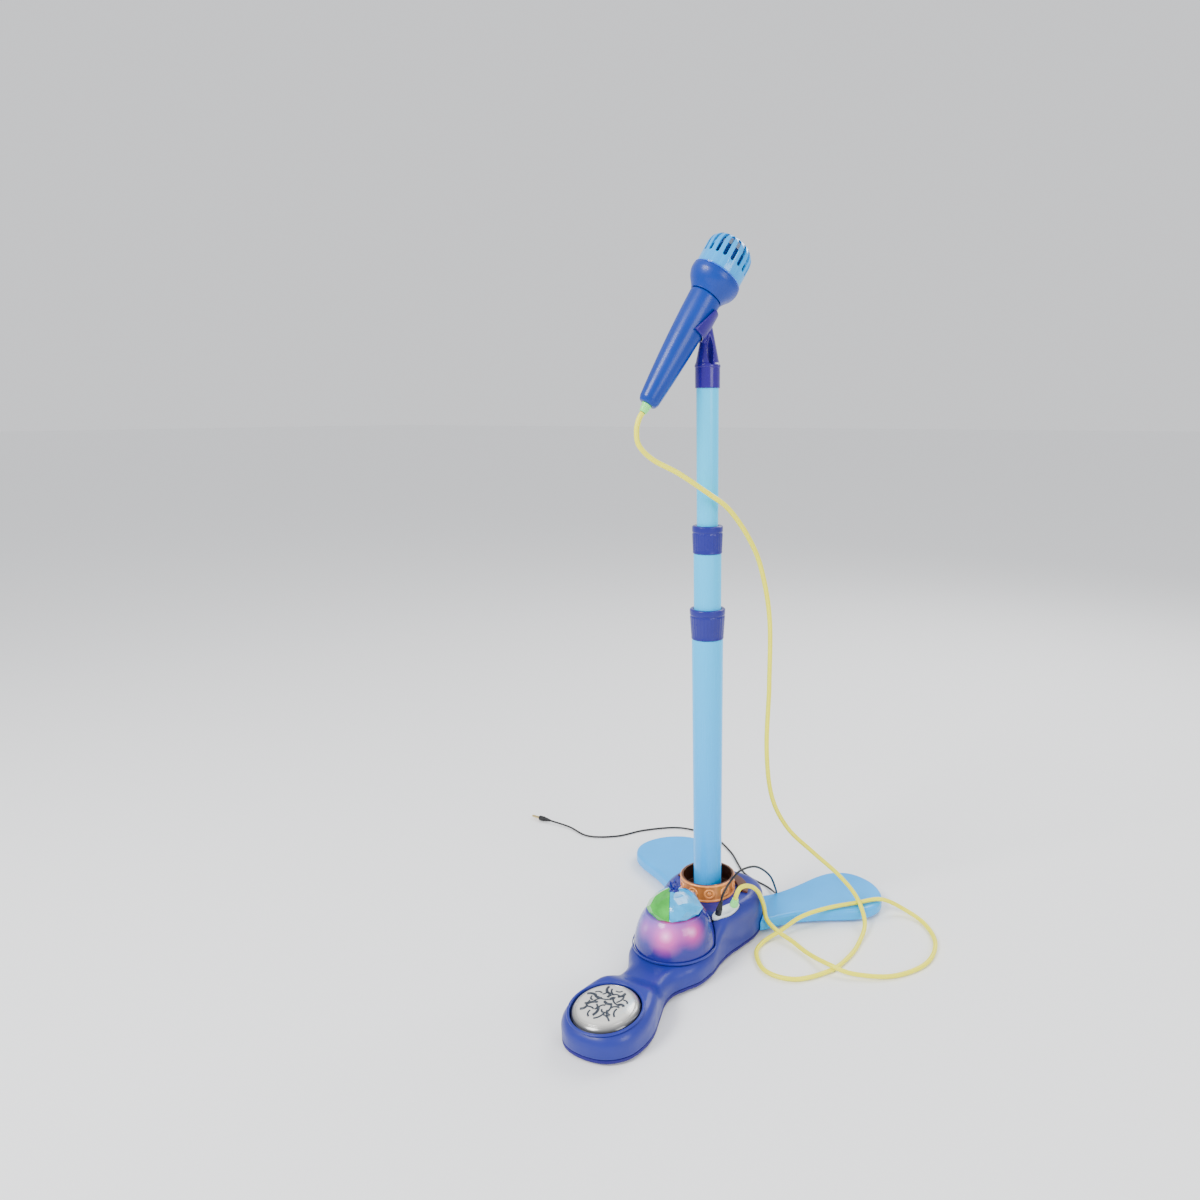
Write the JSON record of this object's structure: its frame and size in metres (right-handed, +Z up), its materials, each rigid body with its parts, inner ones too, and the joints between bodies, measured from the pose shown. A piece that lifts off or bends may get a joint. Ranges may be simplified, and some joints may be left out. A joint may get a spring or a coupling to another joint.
{
  "type": "toy microphone on a stand",
  "caption": "Child's karaoke microphone on a telescopic stand, with a pedal base, lamp, two plug-in legs, a yellow microphone lead and a black audio lead.",
  "frame": {"origin": "on the surface that the stand rests on, under the mast's axis", "axes": "+Z up along the mast, -Y along the pedal foot to its tip, +X to the right of someone facing the pedal"},
  "size_m": [0.5913, 0.4577, 0.6834],
  "materials": {
    "indigo_plastic": "satin moulded, periwinkle indigo",
    "violet_collar": "satin moulded, violet blue",
    "mast_pale_blue": "glossy extruded tube, pale blue",
    "leg_sky_blue": "satin moulded, sky blue",
    "cobalt_plastic": "satin moulded, cobalt",
    "cyan_grille": "glossy moulded, cyan",
    "copper_trim": "copper-coloured metallic paint on plastic",
    "silver_pedal": "silver-white metallised plastic",
    "lamp_diffuser": "translucent violet, glows pink",
    "lamp_green": "clear tinted facets, green",
    "lamp_blue": "clear tinted facets, blue",
    "white_plastic": "plain moulded",
    "black_plastic": "plain moulded",
    "blue_foam": "open foam",
    "rubber_grey": "matt",
    "steel": "bright zinc plated",
    "circuit_board": "glass-epoxy board with green resist",
    "battery_jacket": "printed jacket, plain",
    "yellow_lead": "soft PVC, pale yellow",
    "pale_green_plug": "moulded, pale green",
    "black_lead": "soft PVC, black"
  },
  "bodies": {
    "base": {"base_upper_shell": "indigo_plastic", "base_lower_shell": "indigo_plastic", "battery_door": "indigo_plastic", "battery_door_screw": "steel", "battery_left": "battery_jacket", "battery_right": "battery_jacket", "battery_contacts": "steel", "rubber_foot_centre": "rubber_grey", "rubber_foot_left": "rubber_grey", "rubber_foot_right": "rubber_grey", "case_screw_left": "steel", "case_screw_right": "steel", "case_screw_foot": "steel", "speaker": "black_plastic", "circuit_board": "circuit_board", "lamp_led_board": "circuit_board", "lamp_bell": "lamp_diffuser", "lamp_gem_green": "lamp_green", "lamp_gem_blue": "lamp_blue", "lamp_spike": "lamp_blue", "copper_ring": "copper_trim", "rear_trim_arc": "copper_trim", "mast_socket": "white_plastic", "jack_plate": "white_plastic", "audio_jack": "black_plastic", "mic_jack": "black_plastic", "pedal_seat": "white_plastic", "pedal_switch": "black_plastic", "pedal_spring": "steel", "power_switch_body": "black_plastic", "lower_tube": "mast_pale_blue", "lower_collet": "white_plastic", "mic_cord_floor": "yellow_lead", "mic_plug": "pale_green_plug", "audio_cord": "black_lead", "audio_plug": "black_plastic", "audio_plug_free": "black_plastic"},
    "pedal": {"pedal_button": "silver_pedal"},
    "switch_knob": {"power_slider": "black_plastic"},
    "left_leg_body": {"left_leg": "leg_sky_blue", "left_leg_tab": "indigo_plastic", "left_leg_pad": "rubber_grey"},
    "right_leg_body": {"right_leg": "leg_sky_blue", "right_leg_tab": "indigo_plastic", "right_leg_pad": "rubber_grey"},
    "lower_clamp": {"lower_collar": "violet_collar"},
    "middle_mast": {"middle_tube": "mast_pale_blue", "upper_collet": "white_plastic", "mic_cord_middle": "yellow_lead"},
    "upper_clamp": {"upper_collar": "violet_collar"},
    "upper_mast": {"upper_tube": "mast_pale_blue", "mic_clip": "violet_collar", "mic_cord_top": "yellow_lead"},
    "microphone": {"mic_handle_near": "cobalt_plastic", "mic_handle_far": "cobalt_plastic", "mic_cord_grommet": "pale_green_plug", "mic_cup_ring": "cobalt_plastic", "mic_grille": "cyan_grille", "mic_foam": "blue_foam", "mic_capsule": "white_plastic"}
  },
  "joints": [
    {"name": "middle_tube_slide", "type": "slide", "parent": "base", "child": "middle_mast", "axis": [0, 0, 1], "range_m": [-0.045, 0.17], "deforming": ["mic_cord_floor"]},
    {"name": "upper_tube_slide", "type": "slide", "parent": "middle_mast", "child": "upper_mast", "axis": [0, 0, 1], "range_m": [-0.1, 0.13], "deforming": ["mic_cord_middle"]},
    {"name": "lower_collar_twist", "type": "hinge", "parent": "base", "child": "lower_clamp", "pos_m": [0, 0, 0.346], "axis": [0, 0, 1], "range_deg": [0, 60]},
    {"name": "upper_collar_twist", "type": "hinge", "parent": "middle_mast", "child": "upper_clamp", "pos_m": [0, 0, 0.427], "axis": [0, 0, 1], "range_deg": [0, 60]},
    {"name": "microphone_lift", "type": "slide", "parent": "upper_mast", "child": "microphone", "axis": [-0.4783, -0.6831, 0.5519], "range_m": [0, 0.06], "deforming": ["mic_cord_top"]},
    {"name": "pedal_press", "type": "slide", "parent": "base", "child": "pedal", "axis": [0, 0.1048, -0.9945], "range_m": [0, 0.003], "stiffness_N_per_m": 600, "springref_m": -0.002, "deforming": ["pedal_spring"]},
    {"name": "left_leg_pull", "type": "slide", "parent": "base", "child": "left_leg_body", "axis": [-0.6691, 0.7431, 0], "range_m": [0, 0.03]},
    {"name": "right_leg_pull", "type": "slide", "parent": "base", "child": "right_leg_body", "axis": [0.6691, 0.7431, 0], "range_m": [0, 0.03]},
    {"name": "power_switch_slide", "type": "slide", "parent": "base", "child": "switch_knob", "axis": [1, 0, 0], "range_m": [0, 0.008]}
  ]
}
